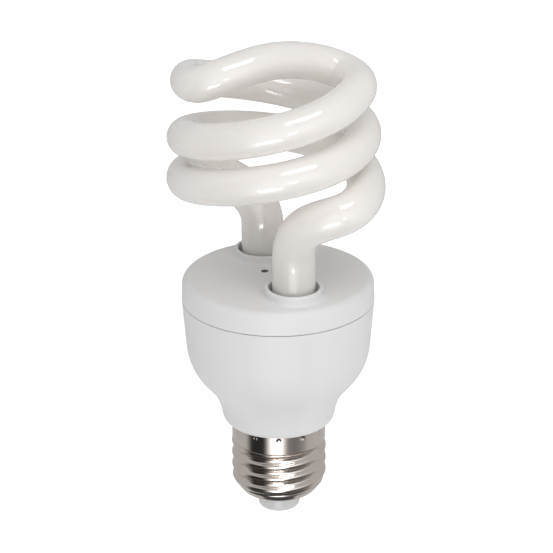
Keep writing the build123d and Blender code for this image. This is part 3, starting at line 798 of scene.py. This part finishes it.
    def leg_heights(self) -> np.ndarray:
        """Heights of a leg's rings: close together at the rounded end, then evenly up.

        Returns:
            Heights in millimetres, from the sealed end upwards.
        """
        turn = np.linspace(0.0, math.pi / 2, self.corner_steps)
        corner = self.leg_end_z + self.leg_end_round * (1.0 - np.cos(turn))
        straight = np.linspace(corner[-1], self.leg_top_z, self.leg_steps)
        return np.concatenate([corner, straight[1:-1]])

    def arm_radii(self, count: int) -> np.ndarray:
        """Tube radius at each point of an arm: rounded end, thicker leg, taper in the elbow.

        Args:
            count: how many points the arm has.

        Returns:
            Radii in millimetres.
        """
        radii = np.full(count, self.tube_radius)
        leg_count = len(self.leg_heights())
        turn = np.linspace(0.0, math.pi / 2, self.corner_steps)
        radii[:leg_count] = self.leg_radius
        radii[:self.corner_steps] = self.leg_radius - self.leg_end_round * (1.0 - np.sin(turn))
        taper = np.linspace(0.0, 1.0, self.elbow_steps)
        radii[leg_count:leg_count + self.elbow_steps] = (
            self.leg_radius + (self.tube_radius - self.leg_radius) * taper)
        return radii

    def bridge(self) -> np.ndarray:
        """Centre line of the S-shaped bridge across the top.

        Returns:
            Points in millimetres from the front arm to the rear one, one a row.
        """
        half_turn = np.array([-1.0, -1.0, 1.0])
        end = self.coil_point(self.end_angle)
        way = self.coil_direction(self.end_angle)
        bend = np.array(self.bridge_bend)
        top = (0.0, 0.0, self.bridge_top_z)
        points = np.array([end, bend, top, bend * half_turn, end * half_turn])
        return clamped_spline(self.lean(points), self.lean(way, True),
                              self.lean(-way * half_turn, True), self.bridge_steps)

    def build(self) -> bpy.types.Object:
        """Winds the tube as one mesh and dresses it.

        Returns:
            The glass tube, which stands for the CAD node spiral_tube.
        """
        front, rear = self.arm(1.0), self.arm(-1.0)
        path = np.vstack([front[:-1], self.bridge(), rear[::-1][1:]])
        radii = self.arm_radii(len(front))
        radii = np.concatenate(
            [radii[:-1], np.full(self.bridge_steps, self.tube_radius), radii[::-1][1:]])
        tube = swept_tube("spiral_tube_glass", path * MM, radii * MM, self.sides)
        tube.data.materials.append(TUBE.material())
        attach(tube, "root")
        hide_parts("spiral_tube")
        return tube


@dataclass
class ScrewShell:
    """The rolled cap shell with its knuckle thread, plain band and punch marks.

    All sizes are in millimetres. The thread is right-handed.

    Attributes:
        pitch: rise of the thread in one turn.
        crest_radius: radius over the crests.
        knuckle_radius: radius of the arcs that make the wave, convex and concave.
        band_radius: radius of the plain band above the thread.
        neck_z: height of the shell's upper edge.
        first_crest_z: height of the lowest crest at half a turn.
        cone: the lower end's corners as (radius, height), from the lip upwards.
        cone_rounds: rounding of its two inner corners.
        cone_join: radius at which even rows take over from the cone's own points.
        round_steps: points in each rounding.
        runout: the slope from thread to band, as two (radius, height) points.
        thread_top_z: height above which there is no thread.
        inside: the inner wall as (radius, height), from the neck down.
        punch_count: punch marks round the band.
        punch_radius: radius of a mark.
        punch_depth: depth of a mark.
        punch_z: height of the marks.
        punch_fall: how steeply a mark's side falls.
        soften: width in which two faces that cross are rounded off.
        sides: vertices round the shell.
        rows: rings from the cone to the neck.
    """

    pitch: float = 3.629
    crest_radius: float = 13.15
    knuckle_radius: float = 1.025
    band_radius: float = 13.0
    neck_z: float = 27.4
    first_crest_z: float = 9.5
    cone: tuple[tuple[float, float], ...] = (
        (6.5, 4.7), (10.43, 5.86), (12.73, 9.16), (14.15, 12.3))
    cone_rounds: tuple[float, float] = (3.0, 2.1)
    cone_join: float = 11.9
    round_steps: int = 12
    runout: tuple[tuple[float, float], ...] = ((11.7, 19.9), (13.0, 21.7))
    thread_top_z: float = 21.3
    inside: tuple[tuple[float, float], ...] = (
        (12.7, 27.4), (12.7, 22.4), (11.75, 20.9), (11.75, 9.0), (11.2, 7.6), (10.25, 6.12),
        (6.29, 4.96))
    punch_count: int = 12
    punch_radius: float = 0.8
    punch_depth: float = 0.22
    punch_z: float = 26.1
    punch_fall: float = 1.5
    soften: float = 0.12
    sides: int = 384
    rows: int = 170

    def knuckle(self, height: np.ndarray) -> np.ndarray:
        """Radius of the thread's wave at heights above a crest.

        Args:
            height: heights in millimetres.

        Returns:
            Radii in millimetres: convex arcs at the crests, concave ones at the roots.
        """
        arc, half = self.knuckle_radius, self.pitch / 2
        between = math.sqrt((2 * arc) ** 2 - half ** 2)
        centre = self.crest_radius - arc
        offset = np.abs((height + half) % self.pitch - half)
        crest = centre + np.sqrt(np.maximum(arc ** 2 - offset ** 2, 0.0))
        root = centre + between - np.sqrt(np.maximum(arc ** 2 - (half - offset) ** 2, 0.0))
        return np.where(offset <= half / 2, crest, root)

    def cone_line(self) -> np.ndarray:
        """Rounded lower end of the shell.

        Returns:
            Points of (radius, height) in millimetres, from the lip upwards.
        """
        points = [np.array(self.cone[0])]
        for i, rounding in enumerate(self.cone_rounds, start=1):
            corner = np.array(self.cone[i])
            back = np.array(self.cone[i - 1]) - corner
            forth = np.array(self.cone[i + 1]) - corner
            back /= np.linalg.norm(back)
            forth /= np.linalg.norm(forth)
            half = math.acos(float(np.dot(back, forth))) / 2.0
            inward = (back + forth) / np.linalg.norm(back + forth)
            centre = corner + inward * rounding / math.sin(half)
            first = corner + back * rounding / math.tan(half) - centre
            last = corner + forth * rounding / math.tan(half) - centre
            for share in np.linspace(0.0, 1.0, self.round_steps):
                arm = first * (1.0 - share) + last * share
                points.append(centre + arm / np.linalg.norm(arm) * rounding)
        points.append(np.array(self.cone[-1]))
        return np.array(points)

    def softer(self, first: np.ndarray, second: np.ndarray, sign: float) -> np.ndarray:
        """Takes one of two radii, with the crossing rounded off.

        Args:
            first: radii of the one face.
            second: radii of the other.
            sign: 1 takes the larger of the two, -1 the smaller.

        Returns:
            The radii in millimetres.
        """
        apart = np.clip(1.0 - np.abs(first - second) / self.soften, 0.0, 1.0)
        plain = np.maximum(first, second) if sign > 0 else np.minimum(first, second)
        return plain + sign * apart ** 2 * self.soften / 4.0

    def dents(self, angle: np.ndarray, height: np.ndarray) -> np.ndarray:
        """Depth of the punch marks that hold the shell on the neck.

        Args:
            angle: angles in radians round the lamp's axis.
            height: heights in millimetres.

        Returns:
            Depths in millimetres.
        """
        turns = (angle * self.punch_count / (2.0 * math.pi) + 0.5) % 1.0 - 0.5
        across = turns * 2.0 * math.pi / self.punch_count * self.band_radius
        away = (across ** 2 + (height - self.punch_z) ** 2) / self.punch_radius ** 2
        return self.punch_depth * np.clip(1.0 - away, 0.0, 1.0) ** self.punch_fall

    def outside(self) -> np.ndarray:
        """Rings of the outer surface: rounded end, thread, slope and band with its marks.

        Returns:
            Points in millimetres from the lip to the neck, one ring a row.
        """
        cone = self.cone_line()
        low = cone[cone[:, 0] < self.cone_join]
        even = np.linspace(low[-1, 1], self.neck_z, self.rows)
        heights = np.concatenate([low[:, 1], even[1:]])
        height, angle = np.meshgrid(heights, round_angles(self.sides), indexing="ij")
        envelope = np.interp(heights, cone[:, 1], cone[:, 0])[:, None]
        lead = self.pitch * (angle / (2.0 * math.pi) - 0.5)
        radius = self.softer(envelope, self.knuckle(height - self.first_crest_z - lead), -1.0)
        (low_r, low_z), (high_r, high_z) = self.runout
        slope = low_r + (height - low_z) * (high_r - low_r) / (high_z - low_z)
        band = np.where(height < low_z, 0.0, np.minimum(slope, high_r))
        radius = self.softer(np.where(height > self.thread_top_z, 0.0, radius), band, 1.0)
        radius = radius - self.dents(angle, height)
        return np.stack([radius * np.cos(angle), radius * np.sin(angle), height], axis=-1)

    def build(self) -> bpy.types.Object:
        """Rolls the shell and plates it.

        Returns:
            The shell, which stands for the CAD node screw_shell.
        """
        turn = round_angles(self.sides)
        inner = np.array([
            np.column_stack([r * np.cos(turn), r * np.sin(turn), np.full(self.sides, z)])
            for r, z in self.inside
        ])
        rings = np.vstack([self.outside(), inner])
        shell = ring_mesh("screw_shell_rolled", rings * MM, True)
        shell.data.materials.append(NICKEL.material())
        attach(shell, "root")
        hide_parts("screw_shell")
        return shell


@dataclass
class PackedPieces:
    """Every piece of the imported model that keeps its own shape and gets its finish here.

    Attributes:
        finishes: node name to its finish.
    """

    finishes: dict[str, Finish] = field(default_factory=lambda: dict(NODE_FINISHES))

    def dress(self) -> list[str]:
        """Gives each node its finish.

        Returns:
            The names of the nodes that were dressed.
        """
        for name, finish in self.finishes.items():
            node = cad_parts[name]
            material = finish.material()
            for slot in node.material_slots:
                slot.material = material
        return sorted(self.finishes)


@dataclass
class Softbox:
    """A rectangular studio lamp with an even face.

    Attributes:
        name: the lamp's name.
        elevation: degrees above the level through the aim point.
        azimuth: degrees from the camera's side, positive to the right.
        distance: metres from the aim point.
        size: width and height in metres.
        radiance: how bright the face looks, where 1 is white.
        is_mirrored: whether shiny surfaces show it.
        is_lighting: whether it lights surfaces.
        aim: the point that it faces.
    """

    name: str
    elevation: float
    azimuth: float
    distance: float
    size: tuple[float, float]
    radiance: float
    is_mirrored: bool = True
    is_lighting: bool = True
    aim: tuple[float, float, float] = (0.0, 0.0, 0.08)

    def build(self) -> bpy.types.Object:
        """Places the softbox, facing the lamp.

        Returns:
            The light object.
        """
        light = bpy.data.lights.new(self.name, "AREA")
        light.shape = "RECTANGLE"
        light.size, light.size_y = self.size
        light.energy = self.radiance * math.pi * self.size[0] * self.size[1]
        lift, turn = math.radians(self.elevation), math.radians(self.azimuth)
        away = Vector((
            math.sin(turn) * math.cos(lift), -math.cos(turn) * math.cos(lift), math.sin(lift)))
        box = linked(self.name, light)
        box.location = Vector(self.aim) + away * self.distance
        box.rotation_euler = away.to_track_quat("Z", "Y").to_euler()
        box.visible_camera = False
        box.visible_glossy = self.is_mirrored
        box.visible_diffuse = self.is_lighting
        return box


@dataclass
class Screen:
    """A curved glowing screen round the lamp that the eye can't see directly.

    Attributes:
        name: the screen's name.
        radius: metres from the lamp's axis.
        low: height of its lower edge in metres.
        high: height of its upper edge in metres.
        pattern: degrees from the camera's side against the radiance seen there.
        ground: radiance of the disc that closes the screen below, where it has one.
        is_lighting: whether it takes the place of the surroundings for soft light.
        is_mirrored: whether shiny surfaces show it.
        columns: upright lines of the mesh.
        blur: how many of them the pattern is smoothed over, an odd number.
    """

    name: str
    radius: float
    low: float
    high: float
    pattern: tuple[tuple[float, float], ...]
    ground: float | None = None
    is_lighting: bool = False
    is_mirrored: bool = True
    columns: int = 160
    blur: int = 7

    def mesh(self) -> bpy.types.Mesh:
        """Bends the screen round the lamp and, where it has a ground, closes it below.

        Returns:
            The mesh, with its radiance stored at each vertex as "glow".
        """
        degrees, shades = np.array(self.pattern).T
        azimuth = np.linspace(degrees[0], degrees[-1], self.columns)
        glow = np.pad(np.interp(azimuth, degrees, shades), self.blur // 2, mode="edge")
        glow = np.convolve(glow, np.ones(self.blur) / self.blur, mode="valid")
        turn = np.radians(azimuth)
        rim = np.column_stack([np.sin(turn), -np.cos(turn)]) * self.radius
        points = [(x, y, z) for z in (self.low, self.high) for x, y in rim]
        faces = [(i, i + 1, self.columns + i + 1, self.columns + i)
                 for i in range(self.columns - 1)]
        values = np.concatenate([glow, glow])
        if self.ground is not None:
            points += [(x, y, self.low - MM) for x, y in rim]
            faces.append(tuple(2 * self.columns + i for i in range(self.columns)))
            values = np.concatenate([values, np.full(self.columns, self.ground)])
        data = bpy.data.meshes.new(self.name)
        data.from_pydata(points, [], faces)
        data.attributes.new("glow", "FLOAT", "POINT").data.foreach_set("value", values.tolist())
        return data

    def build(self) -> bpy.types.Object:
        """Sets up the screen and lets it glow.

        Returns:
            The screen object.
        """
        data = self.mesh()
        material = blank_material(self.name + "_face")
        tree = material.node_tree
        level = add_node(tree, "ShaderNodeAttribute", settings={"attribute_name": "glow"})
        face = add_node(tree, "ShaderNodeEmission", {"Strength": level.outputs["Fac"]})
        add_node(tree, "ShaderNodeOutputMaterial", {"Surface": face.outputs[0]})
        data.materials.append(material)
        screen = linked(self.name, data)
        for way in ("camera", "transmission", "volume_scatter", "shadow"):
            setattr(screen, "visible_" + way, False)
        screen.visible_diffuse = self.is_lighting
        screen.visible_glossy = self.is_mirrored
        return screen


@dataclass(frozen=True)
class Viewpoint:
    """The photograph's camera, fitted to the cap, the housing and the spiral.

    Attributes:
        elevation: degrees above the level through the target.
        distance: metres from the target.
        target: the point that it looks at.
        lens_mm: focal length.
        sensor_mm: width of the sensor.
        shift: shift of the lens sideways and up, as shares of that width.
        roll: degrees that the camera is turned about its own axis.
    """

    elevation: float = 22.8
    distance: float = 0.620
    target: tuple[float, float, float] = (0.0, 0.0, 0.075)
    lens_mm: float = 149.3
    sensor_mm: float = 36.0
    shift: tuple[float, float] = (-0.0025, -0.0333)
    roll: float = -0.3

    def build(self) -> bpy.types.Object:
        """Sets the camera up and makes it the scene's own.

        Returns:
            The camera object.
        """
        lift = math.radians(self.elevation)
        data = bpy.data.cameras.new("camera")
        data.lens = self.lens_mm
        data.sensor_width = self.sensor_mm
        data.shift_x, data.shift_y = self.shift
        camera = linked("camera", data)
        away = Vector((0.0, -math.cos(lift), math.sin(lift)))
        camera.location = Vector(self.target) + self.distance * away
        camera.rotation_mode = "ZYX"
        camera.rotation_euler = (math.pi / 2 - lift, 0.0, math.radians(self.roll))
        bpy.context.scene.camera = camera
        return camera


@dataclass
class Studio:
    """White studio: a pale floor under the hanging lamp, lights, screens and the camera.

    Broad softboxes light the lamp and stay out of its reflections. Small bright windows and
    the patterned screens are there for the reflections alone, so the glass and the nickel
    show crisp highlights between dark and pale parts. The rear wall holds back the soft
    light from behind.

    Attributes:
        floor_z: height of the floor in metres.
        floor_half: half the floor's width in metres.
        paper: the floor's colour, as sRGB hex.
        paper_seen: light added to the floor for the eye.
        paper_mirrored: light added to it in reflections.
        paper_glow: light added to it where it lights other surfaces.
        ambient: strength of the surroundings as soft light.
        reflected_white: their strength in reflections.
        seen_white: their strength for the eye.
        softboxes: the lights.
        screens: the curved screens.
        viewpoint: the camera.
    """

    floor_z: float = -0.30
    floor_half: float = 4.0
    paper: str = "#E8E8E8"
    paper_seen: float = 0.70
    paper_mirrored: float = 0.1
    paper_glow: float = 0.45
    ambient: float = 0.70
    reflected_white: float = 0.75
    seen_white: float = 1.0
    softboxes: tuple[Softbox, ...] = (
        Softbox("key_softbox", elevation=52.0, azimuth=15.0, distance=0.9, size=(0.80, 0.60),
                radiance=1.8, is_mirrored=False),
        Softbox("front_fill", elevation=8.0, azimuth=25.0, distance=1.20, size=(0.80, 0.60),
                radiance=0.5, is_mirrored=False),
        Softbox("key_window", elevation=63.0, azimuth=21.0, distance=0.43,
                size=(0.205, 0.124), radiance=9.5, is_lighting=False),
        Softbox("low_window", elevation=-17.0, azimuth=-3.0, distance=0.40,
                size=(0.18, 0.075), radiance=11.0, is_lighting=False),
        Softbox("small_window", elevation=5.0, azimuth=17.0, distance=0.43,
                size=(0.072, 0.058), radiance=9.0, is_lighting=False),
    )
    screens: tuple[Screen, ...] = (
        Screen("low_screen", radius=0.46, low=-0.285, high=0.0, pattern=(
            (-100.0, 0.62), (-86.0, 0.60), (-76.0, 0.20), (-70.0, 0.03), (-36.0, 0.03),
            (-29.0, 0.40), (-22.0, 1.50), (-8.0, 2.60), (6.0, 2.10), (15.0, 0.80),
            (22.0, 0.30), (40.0, 0.22), (60.0, 0.35), (75.0, 0.60), (100.0, 0.62),
        ), ground=0.08),
        Screen("upper_screen", radius=0.46, low=0.001, high=0.36, pattern=(
            (-110.0, 0.62), (-84.0, 0.60), (-74.0, 0.10), (-68.0, 0.03), (-40.0, 0.03),
            (-30.0, 0.40), (-22.0, 1.30), (-5.0, 1.80), (35.0, 1.50), (55.0, 0.90),
            (75.0, 0.62), (110.0, 0.62),
        )),
        Screen("rear_wall", radius=0.60, low=0.02, high=0.50, pattern=(
            (110.0, 0.30), (250.0, 0.30),
        ), is_lighting=True, is_mirrored=False),
    )
    viewpoint: Viewpoint = Viewpoint()

    def floor(self) -> bpy.types.Object:
        """Wide pale floor that shows pure white and still takes the lamp's shadow.

        Returns:
            The floor object.
        """
        data = bpy.data.meshes.new("studio_floor")
        half, z = self.floor_half, self.floor_z
        corners = [(-half, -half, z), (half, -half, z), (half, half, z), (-half, half, z)]
        data.from_pydata(corners, [], [(0, 1, 2, 3)])
        floor = linked("studio_floor", data)
        material = blank_material("white_sweep_paper")
        tree = material.node_tree
        paper = add_node(tree, "ShaderNodeBsdfDiffuse", {"Color": srgb(self.paper)})
        glow = add_node(tree, "ShaderNodeEmission", {"Strength": self.added_light(tree)})
        both = add_node(tree, "ShaderNodeAddShader", {0: paper.outputs[0], 1: glow.outputs[0]})
        add_node(tree, "ShaderNodeOutputMaterial", {"Surface": both.outputs[0]})
        data.materials.append(material)
        return floor

    def added_light(self, tree: bpy.types.NodeTree) -> bpy.types.NodeSocket:
        """Light that the floor gives beside what it reflects, for each kind of ray.

        Args:
            tree: the node tree.

        Returns:
            The strength socket.
        """
        path = add_node(tree, "ShaderNodeLightPath")
        parts = [add_node(tree, "ShaderNodeMath", {0: rays, 1: strength},
                          {"operation": "MULTIPLY"}).outputs[0]
                 for rays, strength in (
                     (straight_rays(tree, path), self.paper_seen),
                     (path.outputs["Is Glossy Ray"], self.paper_mirrored),
                     (path.outputs["Is Diffuse Ray"], self.paper_glow))]
        both = add_node(tree, "ShaderNodeMath", {0: parts[0], 1: parts[1]},
                        {"operation": "ADD"})
        return add_node(tree, "ShaderNodeMath", {0: both.outputs[0], 1: parts[2]},
                        {"operation": "ADD"}).outputs[0]

    def world(self) -> None:
        """White surroundings for the eye, and softer ones for light and reflections."""
        world = bpy.data.worlds.new("white_studio")
        bpy.context.scene.world = world
        world.use_nodes = True
        tree = world.node_tree
        tree.nodes.clear()
        path = add_node(tree, "ShaderNodeLightPath")
        soft = add_node(tree, "ShaderNodeMix", {
            MIX_SHARE: path.outputs["Is Glossy Ray"], VALUE_A: self.ambient,
            VALUE_B: self.reflected_white,
        }, {"data_type": "FLOAT"})
        strength = add_node(tree, "ShaderNodeMix", {
            MIX_SHARE: straight_rays(tree, path), VALUE_A: soft.outputs[VALUE_OUT],
            VALUE_B: self.seen_white,
        }, {"data_type": "FLOAT"})
        light = add_node(tree, "ShaderNodeBackground", {
            "Strength": strength.outputs[VALUE_OUT]})
        add_node(tree, "ShaderNodeOutputWorld", {"Surface": light.outputs[0]})

    def build(self) -> None:
        """Sets floor, surroundings, lights, screens, camera and the plain view transform."""
        self.floor()
        self.world()
        for item in (*self.softboxes, *self.screens):
            item.build()
        self.viewpoint.build()
        bpy.context.scene.view_settings.view_transform = "Standard"


def main() -> None:
    """Builds the lamp's pieces in order, then the studio."""
    logging.basicConfig(level=logging.INFO, format="%(name)s: %(message)s")
    for piece in (SpiralTube().build(), ScrewShell().build()):
        LOG.info("made %s with %d faces", piece.name, len(piece.data.polygons))
    for name in PackedPieces().dress():
        LOG.info("dressed %s", name)
    Studio().build()


if __name__ == "__main__":
    main()
